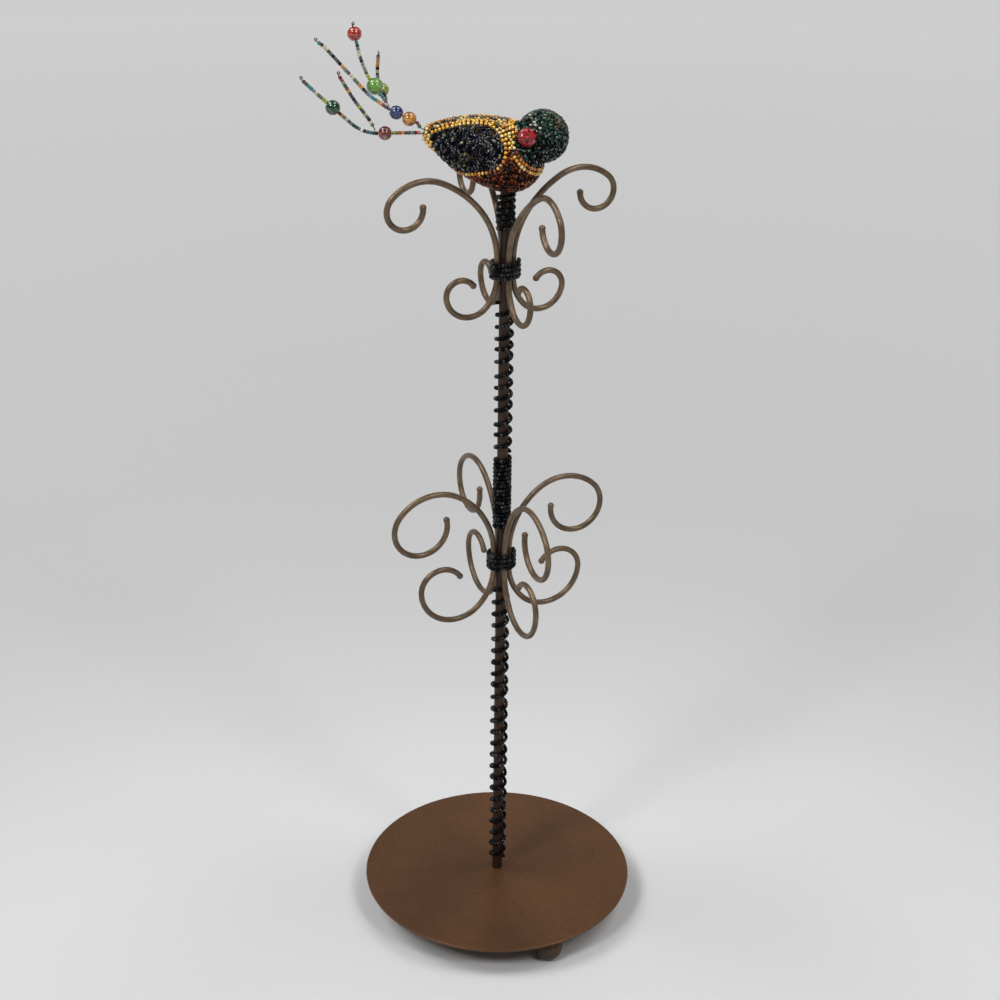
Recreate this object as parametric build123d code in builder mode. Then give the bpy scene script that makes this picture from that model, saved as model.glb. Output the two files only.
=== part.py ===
from build123d import *
from math import asin, cos, degrees, floor, hypot, pi, radians, sin, sqrt
import os

os.makedirs("parts", exist_ok=True)

# A jewellery stand: a round metal plate on three ball feet, a post wound with a string of
# dark seed beads, two tiers of four scroll hooks, and a beaded bird with a fanned tail on top.
# Millimetres and degrees. Z is up, the origin is on the post's axis where the feet rest.
# The hooks point along +X, +Y, -X and -Y, and the bird's breast points between +X and -Y.

# Plate and feet
PLATE_DIAMETER = 150.0
PLATE_THICKNESS = 1.6
PLATE_EDGE_RADIUS = 0.6
FOOT_DIAMETER = 15.5
FOOT_FLAT_DIAMETER = 5.0
FOOT_LAND_DIAMETER = 6.0
FOOT_INSET = 9.0
FOOT_ANGLES = {"foot_front": 272.0, "foot_right": 32.0, "foot_left": 152.0}

# Heights above the plate: the bird's breast, and the bindings of the two tiers of hooks
BIRD_HEIGHT = 413.8
UPPER_TIER_UNDER_BIRD = 56.3
TIER_HEIGHTS = {"upper": BIRD_HEIGHT - UPPER_TIER_UNDER_BIRD, "lower": 198.0}

# Post and the nut that holds it under the plate
POST_DIAMETER = 5.6
STUD_DIAMETER = 4.0
STUD_LENGTH = 7.0
STUD_CLEARANCE = 0.1
WASHER_DIAMETER = 10.0
WASHER_THICKNESS = 0.8
NUT_ACROSS_FLATS = 7.0
NUT_THICKNESS = 3.2
POST_IN_BIRD = 22.0
POST_CHAMFER = 0.4

# Scroll hooks
HOOK_WIRE_DIAMETER = 3.0
HOOK_TIP_DIAMETER = 3.4
HOOK_SEAT_GAP = 0.03
HOOK_ANGLES = {"right": 0.0, "back": 90.0, "left": 180.0, "front": 270.0}
# Each scroll is a straight run and then bends of (radius, turn), away from the post
CURLS = {
    "upper": (4.8, ((42.0, 35.5), (51.0, 28.5), (22.7, 71.0), (9.2, 228.0))),
    "lower": (4.0, ((43.0, 32.0), (38.5, 25.0), (25.0, 81.5), (14.5, 232.0))),
}
FOOT_SCROLLS = {
    "upper": (4.0, ((22.0, 41.0), (12.2, 131.0), (7.8, 153.0))),
    "lower": (4.5, ((30.0, 42.5), (19.0, 135.5), (11.8, 149.0))),
}
# The upper front hook opens sooner from the post than its neighbours
OWN_CURLS = {
    ("upper", "front"): (4.8, ((29.5, 39.0), (80.0, 26.4), (18.4, 71.7), (10.8, 212.5))),
}
# Bent by hand, so the first bend of each curl turns a little more or less
HOOK_LEANS = {
    "upper": {"right": -3.7, "back": 0.0, "left": 2.5, "front": 0.0},
    "lower": {"right": -3.9, "back": 0.6, "left": 3.1, "front": 0.0},
}

# The beaded string on the post
STRING_DIAMETER = 1.9
STRING_GAP = 0.05
TOP_PITCH = 3.0
CLOSE_PITCH = 2.35
MIDDLE_PITCH = 6.5
BOTTOM_PITCH = 7.4
BINDING_TURNS = 4.0
# Lengths of post that the string leaves to the stems and the binding of a tier, and the
# length over which it is wound close above the lower tier
STEMS_ABOVE = 18.5
STEMS_BELOW = 16.0
CLOSE_LENGTH = 41.0
STRING_OFF_PLATE = 6.0
STRING_OFF_BIRD = 1.2

# The bird
BIRD_TURN = -24.0
BIRD_FORWARD = 1.2
BREAST_RADIUS = 17.9
TAIL_ROOT_RADIUS = 3.8
TAIL_ROOT_BACK = 40.9
TAIL_ROOT_RISE = 11.3
HEAD_RADIUS = 13.3
HEAD_FORWARD = 15.7
HEAD_RISE = 9.9
BEAD_LAYER = 1.8
ROOT_BAND = 3.4
BORE_CLEARANCE = 0.03
TRIM_WIDTH = 2.0
BEAK_TURN = 240.0
BEAK_RISE = 8.7
BEAK_DIAMETER = 8.6
BEAK_TIP_RADIUS = 1.6
BEAK_LENGTH = 7.0
BEAK_ROOT = 2.0
SEAT_GAP = 0.02
EYE_DIAMETER = 2.6
EYES = {"eye_right": (264.0, 20.0), "eye_left": (214.0, 46.0)}

# The bounds of the bird's colours, on its side: forward and up from the breast's centre
HOOD_HEM = ((2.9, 7.9), (7.8, 0.0), (18.3, -5.6))
BIB_HEM = ((18.3, -9.0), (5.8, -1.2), (1.0, 6.8))
HOOD_BACK = (3.7, 14.2)
NECK_BACK = ((-0.6, 18.6), (-4.2, 16.2))
BELLY_LINE = 11.2
# The wing's outline: over its top, round its front, straight under it and back to its tip
WING_TIP = (-38.9, 10.3)
WING_TOP = ((-25.5, 16.2), (-10.1, 17.2))
WING_FRONT = ((-2.5, 7.4), (-8.3, -2.9))
WING_UNDER = ((-21.4, -6.7), (-31.9, -3.1))

# The tail
TAIL_WIRE_DIAMETER = 0.6
SEED_DIAMETER = 2.0
SEED_CLEARANCE = 0.05
SHORTEST_SEEDS = 1.0
GLASS_CLEARANCE = 0.06
GLASS_END_GAP = 0.15
GLASS_LAND = 0.92
WIRE_END = 1.4
BRANCH_BARE = 2.2
ROOT_BARE = 1.6
ROOT_SPREAD = 1.1
TAIL_SOCKET = 5.0
TIP_LOOP = (0.55, 290.0)

foot_circle_radius = PLATE_DIAMETER / 2 - FOOT_INSET
foot_drop = sqrt(FOOT_DIAMETER**2 - FOOT_FLAT_DIAMETER**2) * 0.5
foot_rise = sqrt(FOOT_DIAMETER**2 - FOOT_LAND_DIAMETER**2) * 0.5
plate_bottom = foot_drop + foot_rise
plate_top = plate_bottom + PLATE_THICKNESS
post_radius = POST_DIAMETER / 2
wire_radius = HOOK_WIRE_DIAMETER / 2
string_radius = STRING_DIAMETER / 2
stem_radius = post_radius + wire_radius + HOOK_SEAT_GAP


def finish(piece, label):
    """Names a finished piece and writes it."""
    piece.part.label = label
    export_step(piece.part, f"parts/{label}.step")


# Base plate with the hole for the post's stud
with BuildPart() as base_plate:
    with BuildSketch(Plane.XY.offset(plate_bottom)):
        Circle(PLATE_DIAMETER / 2)
    extrude(amount=PLATE_THICKNESS)
    fillet(base_plate.edges(), PLATE_EDGE_RADIUS)
    Hole(STUD_DIAMETER / 2 + STUD_CLEARANCE)
finish(base_plate, "base_plate")

# Ball feet, each with a small land under the plate and a flat to stand on
for foot_name, foot_angle in FOOT_ANGLES.items():
    foot_x = foot_circle_radius * cos(radians(foot_angle))
    foot_y = foot_circle_radius * sin(radians(foot_angle))
    with BuildPart() as foot:
        with Locations((foot_x, foot_y, foot_drop)):
            Sphere(FOOT_DIAMETER / 2)
        split(bisect_by=Plane.XY, keep=Keep.TOP)
        split(bisect_by=Plane.XY.offset(plate_bottom), keep=Keep.BOTTOM)
    finish(foot, foot_name)

# Post, turned down to a stud that goes through the plate
bird_centre = plate_top + BIRD_HEIGHT
post_top = bird_centre - BREAST_RADIUS + POST_IN_BIRD
with BuildPart() as post:
    with BuildSketch(Plane.XY.offset(plate_top)):
        Circle(post_radius)
    extrude(amount=post_top - plate_top)
    chamfer(post.faces().sort_by(Axis.Z)[-1].edges(), POST_CHAMFER)
    with BuildSketch(Plane.XY.offset(plate_top)):
        Circle(STUD_DIAMETER / 2)
    extrude(amount=-STUD_LENGTH)
finish(post, "post")

with BuildPart() as post_washer:
    with BuildSketch(Plane.XY.offset(plate_bottom)):
        Circle(WASHER_DIAMETER / 2)
        Circle(STUD_DIAMETER / 2 + STUD_CLEARANCE, mode=Mode.SUBTRACT)
    extrude(amount=-WASHER_THICKNESS)
finish(post_washer, "post_washer")

with BuildPart() as post_nut:
    with BuildSketch(Plane.XY.offset(plate_bottom - WASHER_THICKNESS)):
        RegularPolygon(NUT_ACROSS_FLATS / 2, 6, major_radius=False)
        Circle(STUD_DIAMETER / 2, mode=Mode.SUBTRACT)
    extrude(amount=-NUT_THICKNESS)
finish(post_nut, "post_nut")


def bent_wire(start, heading, run, bends, side):
    """Draws a straight run and then tangent bends; side is -1 or 1, the way the bends turn."""
    line = Line(start, (start[0], start[1] + heading * run))
    for radius, turn in bends:
        line = JernArc(line @ 1, line % 1, radius, side * turn)
    return line


def sweep_disc(path, radius):
    """Sweeps a disc along a path, inside the part being built."""
    with BuildSketch(Plane(origin=path @ 0, z_dir=path % 0)) as disc:
        Circle(radius)
    sweep(sections=disc.sketch, path=path)


# Scroll hooks: one wire each, from the curl above the binding to the scroll below it
for tier, tier_height in TIER_HEIGHTS.items():
    for side_name, hook_angle in HOOK_ANGLES.items():
        out = Vector(cos(radians(hook_angle)), sin(radians(hook_angle)), 0)
        hook_plane = Plane(
            origin=(0, 0, plate_top + tier_height), x_dir=out, z_dir=out.cross(Vector(0, 0, 1))
        )
        curl_run, curl_bends = OWN_CURLS.get((tier, side_name), CURLS[tier])
        lean = HOOK_LEANS[tier][side_name]
        first_radius, first_turn = curl_bends[0]
        leaned_bends = ((first_radius, first_turn + lean),) + curl_bends[1:]
        scroll_run, scroll_bends = FOOT_SCROLLS[tier]
        with BuildPart() as hook:
            with BuildLine(hook_plane) as curl:
                curl_end = bent_wire((stem_radius, 0), 1, curl_run, leaned_bends, -1)
            sweep_disc(curl.line, wire_radius)
            with BuildLine(hook_plane) as scroll:
                scroll_end = bent_wire((stem_radius, 0), -1, scroll_run, scroll_bends, 1)
            sweep_disc(scroll.line, wire_radius)
            with Locations(curl_end @ 1, scroll_end @ 1):
                Sphere(HOOK_TIP_DIAMETER / 2)
        finish(hook, f"hook_{tier}_{side_name}")


def helix_point(radius, pitch, base, turns):
    """The point and the direction of a helix about the post after a number of turns."""
    angle = 2 * pi * turns
    slope = pitch / (2 * pi * radius)
    point = Vector(radius * cos(angle), radius * sin(angle), base + pitch * turns)
    direction = Vector(-sin(angle), cos(angle), slope).normalized()
    return point, direction


def biarc(start, start_way, end, end_way):
    """Two arcs that join two points and leave and arrive along the given directions."""
    chord = end - start
    ways = start_way + end_way
    spread = 2 * (1 - start_way.dot(end_way))
    along = chord.dot(ways)
    reach = (sqrt(along**2 + spread * chord.dot(chord)) - along) / spread
    middle = (start + end + (start_way - end_way) * reach) * 0.5
    first = TangentArc(start, middle, tangent=start_way)
    TangentArc(middle, end, tangent=first % 1)


def wound_string(name, radius, pitch, base, turns):
    """A string wound about the post as one tube, with a short straight run at each end."""
    quarters = floor(4 * turns)
    with BuildPart() as winding:
        with BuildLine() as route:
            point, way = helix_point(radius, pitch, base, 0)
            Line(point - way * STRING_DIAMETER, point)
            for quarter in range(1, quarters + 1):
                next_point, next_way = helix_point(radius, pitch, base, quarter / 4)
                biarc(point, way, next_point, next_way)
                point, way = next_point, next_way
            Line(point, point + way * STRING_DIAMETER)
        sweep_disc(route.line, string_radius)
    samples = [edge @ t for edge in route.line.edges() for t in (0.25, 0.75)]
    half_turn = pi * radius
    step = 2 * pi * radius / 16
    apart = int(half_turn / step)
    gap = min(
        (samples[i] - samples[j]).length
        for i in range(len(samples))
        for j in range(i + apart, min(len(samples), i + 5 * apart))
    ) - STRING_DIAMETER
    print(f"{name}: {quarters / 4} turns, least gap to itself {gap:.2f} mm")
    finish(winding, name)


# The string's stretches on the bare post: each lower end and upper end, and the pitch
upper = plate_top + TIER_HEIGHTS["upper"]
lower = plate_top + TIER_HEIGHTS["lower"]
close_top = lower + STEMS_ABOVE + CLOSE_LENGTH
string_top = bird_centre - BREAST_RADIUS - STRING_OFF_BIRD
WINDINGS = {
    "winding_top": (upper + STEMS_ABOVE, string_top, TOP_PITCH),
    "winding_middle": (close_top + STRING_DIAMETER, upper - STEMS_BELOW, MIDDLE_PITCH),
    "winding_close": (lower + STEMS_ABOVE, close_top, CLOSE_PITCH),
    "winding_bottom": (plate_top + STRING_OFF_PLATE, lower - STEMS_BELOW, BOTTOM_PITCH),
}
wound_radius = post_radius + string_radius + STRING_GAP
for winding_name, (low_end, high_end, pitch) in WINDINGS.items():
    wound_string(winding_name, wound_radius, pitch, low_end, (high_end - low_end) / pitch)

# The bindings that hold each tier's four stems to the post
binding_radius = stem_radius + wire_radius + string_radius + STRING_GAP
for tier, tier_height in TIER_HEIGHTS.items():
    binding_base = plate_top + tier_height - BINDING_TURNS * CLOSE_PITCH / 2
    wound_string(f"binding_{tier}", binding_radius, CLOSE_PITCH, binding_base, BINDING_TURNS)

# The bird's own frame: x towards the breast, y to its left, z up, centred in the breast,
# which stands a little forward of the post
forward = Vector(cos(radians(BIRD_TURN)), sin(radians(BIRD_TURN)), 0)
breast_middle = forward * BIRD_FORWARD + Vector(0, 0, bird_centre)
bird_frame = Plane(origin=breast_middle, x_dir=forward, z_dir=(0, 0, 1))
side_view = Plane(origin=breast_middle, x_dir=forward, z_dir=forward.cross(Vector(0, 0, 1)))
body_length = hypot(TAIL_ROOT_BACK, TAIL_ROOT_RISE)
tail_way = Vector(-TAIL_ROOT_BACK, TAIL_ROOT_RISE, 0) / body_length
head_middle = bird_frame.from_local_coords(Vector(HEAD_FORWARD, 0, HEAD_RISE))


def bird_body(layer, mode=Mode.ADD):
    """The teardrop body, smaller than the beaded one by a layer: a round breast and a taper."""
    breast = BREAST_RADIUS - layer
    root = TAIL_ROOT_RADIUS - layer
    taper = (body_length**2 + (breast - root) ** 2) / (2 * (breast - root))
    body_plane = Plane(
        origin=side_view.origin,
        x_dir=bird_frame.from_local_coords(Vector(tail_way.X, 0, tail_way.Y)) - bird_frame.origin,
        z_dir=side_view.z_dir,
    )
    half = asin(body_length / taper) / 2
    middle = (taper * sin(half), breast - taper + taper * cos(half))
    with BuildSketch(body_plane) as half_outline:
        with BuildLine():
            Line((-breast, 0), (body_length, 0))
            Line((body_length, 0), (body_length, root))
            ThreePointArc((body_length, root), middle, (0, breast))
            ThreePointArc((0, breast), (-breast * sin(pi / 4), breast * sin(pi / 4)), (-breast, 0))
        make_face()
    revolve(half_outline.sketch, axis=Axis(body_plane.origin, body_plane.x_dir), mode=mode)


def bird_head(layer, mode=Mode.ADD):
    """The round head, smaller than the beaded one by a layer."""
    ball = Solid.make_sphere(HEAD_RADIUS - layer, Plane(head_middle), angle1=-90)
    add(ball, mode=mode)


# Bird's core: a carved body with sockets for the post and the two tail wires, and a head
with BuildPart() as bird_core:
    bird_body(BEAD_LAYER)
    with BuildSketch(Plane.XY.offset(post_top)):
        Circle(post_radius + BORE_CLEARANCE)
    extrude(amount=-2 * BREAST_RADIUS, mode=Mode.SUBTRACT)

with BuildPart() as bird_head_core:
    bird_head(BEAD_LAYER)
    bird_body(BEAD_LAYER, Mode.SUBTRACT)
finish(bird_head_core, "bird_head")

# The layer of beads over body and head, open round the post
with BuildPart() as bead_coat:
    bird_body(0)
    bird_head(0)
    bird_body(BEAD_LAYER, Mode.SUBTRACT)
    bird_head(BEAD_LAYER, Mode.SUBTRACT)
    with BuildSketch(Plane.XY.offset(bird_centre)):
        Circle(post_radius + STRING_GAP)
    extrude(amount=-2 * BREAST_RADIUS, mode=Mode.SUBTRACT)

# Colour zones of the beads, drawn on the bird's side. A zone leaves out those drawn before it.
FAR = 3 * BREAST_RADIUS

with BuildSketch(side_view) as root_zone:
    root_start = tail_way * (body_length - ROOT_BAND)
    with Locations(Location((root_start.X, root_start.Y), degrees(asin(tail_way.Y)))):
        Rectangle(FAR, FAR, align=(Align.MAX, Align.CENTER))

with BuildSketch(side_view) as wing_zone:
    with BuildLine():
        ThreePointArc(WING_TIP, *WING_TOP)
        ThreePointArc(WING_TOP[1], *WING_FRONT)
        Line(WING_FRONT[1], WING_UNDER[0])
        ThreePointArc(*WING_UNDER, WING_TIP)
    make_face()
    add(root_zone.sketch_local, mode=Mode.SUBTRACT)

with BuildSketch(side_view) as trim_zone:
    add(wing_zone.sketch_local)
    offset(amount=TRIM_WIDTH)
    add(wing_zone.sketch_local, mode=Mode.SUBTRACT)
    add(root_zone.sketch_local, mode=Mode.SUBTRACT)

with BuildSketch(side_view) as bib_zone:
    with BuildLine():
        ThreePointArc(*HOOD_HEM)
        Polyline(HOOD_HEM[2], (FAR, HOOD_HEM[2][1]), (FAR, BIB_HEM[0][1]), BIB_HEM[0])
        ThreePointArc(*BIB_HEM)
        Line(BIB_HEM[2], HOOD_HEM[0])
    make_face()
    add(trim_zone.sketch_local, mode=Mode.SUBTRACT)

with BuildSketch(side_view) as hood_zone:
    with BuildLine():
        ThreePointArc(*HOOD_HEM)
        Polyline(HOOD_HEM[2], (FAR, HOOD_HEM[2][1]), (FAR, FAR), (HOOD_BACK[0], FAR),
                 HOOD_BACK, HOOD_HEM[0])
    make_face()

with BuildSketch(side_view) as neck_zone:
    with BuildLine():
        Polyline(HOOD_HEM[0], HOOD_BACK, (HOOD_BACK[0], FAR), (NECK_BACK[0][0], FAR),
                 *NECK_BACK, (NECK_BACK[1][0], BIB_HEM[2][1]), BIB_HEM[2], close=True)
    make_face()
    add(wing_zone.sketch_local, mode=Mode.SUBTRACT)
    add(trim_zone.sketch_local, mode=Mode.SUBTRACT)

other_zones = (root_zone, wing_zone, trim_zone, neck_zone, bib_zone, hood_zone)
with BuildSketch(side_view) as back_zone:
    with Locations((0, BELLY_LINE)):
        Rectangle(2 * FAR, FAR, align=(Align.CENTER, Align.MIN))
    for zone in other_zones:
        add(zone.sketch_local, mode=Mode.SUBTRACT)

with BuildSketch(side_view) as belly_zone:
    with Locations((0, BELLY_LINE)):
        Rectangle(2 * FAR, 2 * FAR, align=(Align.CENTER, Align.MAX))
    for zone in other_zones:
        add(zone.sketch_local, mode=Mode.SUBTRACT)


def bead_patch(zone, label, reach, both=False):
    """Cuts one colour's patch out of the bead layer."""
    with BuildPart() as patch:
        add(bead_coat.part)
        extrude(zone.sketch, amount=reach, both=both, mode=Mode.INTERSECT)
    finish(patch, label)


for flank, reach in (("right", FAR), ("left", -FAR)):
    bead_patch(wing_zone, f"wing_beads_{flank}", reach)
    bead_patch(trim_zone, f"wing_trim_{flank}", reach)
bead_patch(root_zone, "tail_root_beads", FAR, both=True)
bead_patch(neck_zone, "neck_beads", FAR, both=True)
bead_patch(bib_zone, "bib_trim", FAR, both=True)
bead_patch(hood_zone, "hood_beads", FAR, both=True)
bead_patch(back_zone, "back_beads", FAR, both=True)
bead_patch(belly_zone, "belly_beads", FAR, both=True)


def head_direction(turn, rise):
    """A direction out of the head: turned about the post from the breast, and raised."""
    level = Vector(cos(radians(turn)), sin(radians(turn)), 0) * cos(radians(rise))
    local = level + Vector(0, 0, sin(radians(rise)))
    return bird_frame.from_local_coords(local) - bird_frame.origin


# Beak and eyes, seated on the beads of the head
beak_plane = Plane(origin=head_middle, z_dir=head_direction(BEAK_TURN, BEAK_RISE))
with BuildPart() as beak:
    with Locations(beak_plane.offset(HEAD_RADIUS - BEAK_ROOT)):
        Cone(
            BEAK_DIAMETER / 2, BEAK_TIP_RADIUS, BEAK_LENGTH + BEAK_ROOT,
            align=(Align.CENTER, Align.CENTER, Align.MIN),
        )
    with Locations(beak_plane.offset(HEAD_RADIUS + BEAK_LENGTH)):
        Sphere(BEAK_TIP_RADIUS)
    bird_head(-SEAT_GAP, Mode.SUBTRACT)
    bird_body(-SEAT_GAP, Mode.SUBTRACT)
finish(beak, "beak")

for eye_name, (eye_turn, eye_rise) in EYES.items():
    with BuildPart() as eye:
        with Locations(head_middle + head_direction(eye_turn, eye_rise) * HEAD_RADIUS):
            Sphere(EYE_DIAMETER / 2)
        bird_head(-SEAT_GAP, Mode.SUBTRACT)
        bird_body(-SEAT_GAP, Mode.SUBTRACT)
    finish(eye, eye_name)

# Tail strands. Each leaves the bird's tail root, or the side of another strand at a distance
# along it, in an upright plane turned by fan from straight back, and rises from level by
# rise. Then come its runs, and its bends of (radius, turn), a turn up being positive. Last
# are its round beads, each with a diameter and a distance along the strand, and which kind of
# bead comes last before the tip.
body_rise = degrees(asin(TAIL_ROOT_RISE / body_length))
TAIL_STRANDS = {
    "low": dict(
        start=-ROOT_SPREAD, fan=-7.0, rise=body_rise,
        path=(TAIL_SOCKET + 0.8, (8.0, -body_rise), 18.8, (18.5, 42.0), 20.1, (36.0, 1.7), 10.6),
        glass={"red_brown": (6.8, 23.4), "dark_green": (7.2, 51.9)}, tip="seeds",
    ),
    "low_branch": dict(
        start=("low", 28.0), fan=-3.0, rise=63.0,
        path=(3.0, (20.7, -10.0), 7.9, (57.0, 6.3), 11.1), glass={}, tip="seeds",
    ),
    "high": dict(
        start=ROOT_SPREAD, fan=-2.0, rise=body_rise,
        path=(TAIL_SOCKET + 0.5, (2.5, 57.1), (2.5, -46.6), 13.9, (8.0, 8.3), 9.0,
              (10.0, 13.5), 28.4, (12.0, -14.7), 3.0),
        glass={"amber": (7.0, 13.6), "blue": (6.8, 20.4)}, tip="seeds",
    ),
    "high_branch": dict(
        start=("high", 24.6), fan=26.0, rise=48.2,
        path=(15.8, (12.0, 16.0), 4.3, (28.7, 11.2), 13.4),
        glass={"light_green": (8.2, 11.6), "red": (7.0, 37.8)}, tip="glass",
    ),
    "top_branch": dict(
        start=("high_branch", 2.5), fan=70.0, rise=24.9,
        path=(14.8, (5.0, 80.0), 9.0), glass={"yellow_green": (6.8, 9.5)}, tip="seeds",
    ),
}
wire_half = TAIL_WIRE_DIAMETER / 2
seed_half = SEED_DIAMETER / 2
strand_routes = {}
strand_sockets = []


def strand_way(fan, rise):
    """The direction in which a strand leaves, and the upright plane's outward direction."""
    out = Vector(-cos(radians(fan)), sin(radians(fan)), 0)
    outward = bird_frame.from_local_coords(out) - bird_frame.origin
    return outward * cos(radians(rise)) + Vector(0, 0, sin(radians(rise))), outward


def strand_start(start, way):
    """Where a strand starts: in the body's socket, or against the side of another strand."""
    if not isinstance(start, tuple):
        root = bird_frame.from_local_coords(Vector(-TAIL_ROOT_BACK, 0, TAIL_ROOT_RISE + start))
        return root - way * TAIL_SOCKET
    parent, distance = start
    route = strand_routes[parent]
    point = route.position_at(distance, position_mode=PositionMode.LENGTH)
    along = route.tangent_at(distance, position_mode=PositionMode.LENGTH)
    aside = (way - along * way.dot(along)).normalized()
    return point + aside * (seed_half + wire_half + SEAT_GAP)


for strand_name, strand in TAIL_STRANDS.items():
    way, outward = strand_way(strand["fan"], strand["rise"])
    origin = strand_start(strand["start"], way)
    strand_plane = Plane(origin=origin, x_dir=outward, z_dir=outward.cross(Vector(0, 0, 1)))
    with BuildLine(strand_plane) as route:
        rise = radians(strand["rise"])
        reach = strand["path"][0]
        line = Line((0, 0), (reach * cos(rise), reach * sin(rise)))
        for step in strand["path"][1:] + (TIP_LOOP,):
            if isinstance(step, tuple):
                line = JernArc(line @ 1, line % 1, abs(step[0]), step[1])
            else:
                line = Line(line @ 1, (line @ 1) + (line % 1) * step)
    wire_path = route.wire()
    strand_routes[strand_name] = wire_path
    with BuildPart() as tail_wire:
        sweep_disc(wire_path, wire_half)
    finish(tail_wire, f"tail_wire_{strand_name}")

    # The seed beads fill what the round beads leave of the wire, if that is enough for one; a
    # last cut without an end is the tip beyond a round bead
    from_root = not isinstance(strand["start"], tuple)
    first = TAIL_SOCKET + ROOT_BARE if from_root else BRANCH_BARE
    last = wire_path.length - TIP_LOOP[0] * radians(TIP_LOOP[1]) - WIRE_END
    cuts = [first]
    for diameter, distance in strand["glass"].values():
        half_length = diameter * GLASS_LAND / 2 + GLASS_END_GAP
        cuts += [distance - half_length, distance + half_length]
    if strand["tip"] == "seeds":
        cuts.append(last)
    with BuildPart() as tail_seeds:
        for near, far in zip(cuts[::2], cuts[1::2]):
            if far - near < SHORTEST_SEEDS:
                continue
            span = wire_path.trim(near / wire_path.length, far / wire_path.length)
            with BuildSketch(Plane(origin=span @ 0, z_dir=span % 0)) as ring:
                Circle(seed_half)
                Circle(wire_half + SEED_CLEARANCE, mode=Mode.SUBTRACT)
            sweep(sections=ring.sketch, path=span)
    finish(tail_seeds, f"tail_seeds_{strand_name}")

    # The round beads, each free to turn on its wire
    for glass_name, (diameter, distance) in strand["glass"].items():
        middle = wire_path.position_at(distance, position_mode=PositionMode.LENGTH)
        axis = wire_path.tangent_at(distance, position_mode=PositionMode.LENGTH)
        with BuildPart(Plane(origin=middle, z_dir=axis)) as glass_bead:
            Sphere(diameter / 2)
            Cylinder(diameter, diameter * GLASS_LAND, mode=Mode.INTERSECT)
            Cylinder(wire_half + GLASS_CLEARANCE, diameter, mode=Mode.SUBTRACT)
        finish(glass_bead, f"glass_bead_{glass_name}")
        print(f"{glass_name}: turns about {tuple(axis)} at {tuple(middle)}")

# Sockets for the two wires that leave the body
with BuildPart() as bird_body_core:
    add(bird_core.part)
    for strand_name in ("low", "high"):
        socket_path = strand_routes[strand_name]
        with BuildSketch(Plane(origin=socket_path @ 0, z_dir=socket_path % 0)) as socket:
            Circle(wire_half + BORE_CLEARANCE)
        extrude(socket.sketch, amount=TAIL_SOCKET + 1, mode=Mode.SUBTRACT)
finish(bird_body_core, "bird_body")
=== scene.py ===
# %% [markdown]
# # A jewellery stand with a beaded bird
# The stand is a bronze plate on ball feet, a post wound with dark seed beads, two tiers of
# scroll hooks, and a bird covered in beads with a fanned tail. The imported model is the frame:
# every piece below is drawn where that frame says, in metres, with Z up from the table.

# %% The frame
import cmath
import math
import random

import bpy
from mathutils import Matrix, Vector, noise
from mathutils.bvhtree import BVHTree


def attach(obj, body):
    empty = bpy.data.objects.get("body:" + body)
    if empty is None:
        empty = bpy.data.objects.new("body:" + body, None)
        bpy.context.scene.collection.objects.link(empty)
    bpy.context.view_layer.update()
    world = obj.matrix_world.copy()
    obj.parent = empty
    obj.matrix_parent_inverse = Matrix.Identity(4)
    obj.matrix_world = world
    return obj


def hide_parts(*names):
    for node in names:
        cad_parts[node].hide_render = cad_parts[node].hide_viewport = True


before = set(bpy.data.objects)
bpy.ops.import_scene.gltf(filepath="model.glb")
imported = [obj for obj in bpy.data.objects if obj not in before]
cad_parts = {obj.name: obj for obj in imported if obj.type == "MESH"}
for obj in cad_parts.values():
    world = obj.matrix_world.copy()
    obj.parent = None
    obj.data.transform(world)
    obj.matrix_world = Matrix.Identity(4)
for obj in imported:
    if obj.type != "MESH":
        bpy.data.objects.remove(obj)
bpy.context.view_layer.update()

scene = bpy.context.scene

# %% [markdown]
# ## Finishes
# Every finish is one principled shader. What varies over the surface, such as mottled lacquer
# or streaks in glass, comes from noise in the object's own space, so it needs no unwrapping and
# stays put from every side. What is the same all over is typed straight into the shader.

# %% Helpers for finishes
MM = 0.001


def tint(red, green, blue):
    """A colour as a screen shows it, 0 to 255, turned into the linear colour a shader takes."""
    def linear(level):
        level /= 255
        return level / 12.92 if level <= 0.04045 else ((level + 0.055) / 1.055) ** 2.4
    return (linear(red), linear(green), linear(blue), 1.0)


def dial(node, **values):
    """Sets a node's inputs by name, with _ for each space."""
    for socket, value in values.items():
        node.inputs[socket.replace("_", " ")].default_value = value


def fit(thing, **settings):
    """Gives a new node or lamp its settings."""
    for setting, value in settings.items():
        setattr(thing, setting, value)
    return thing


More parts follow.
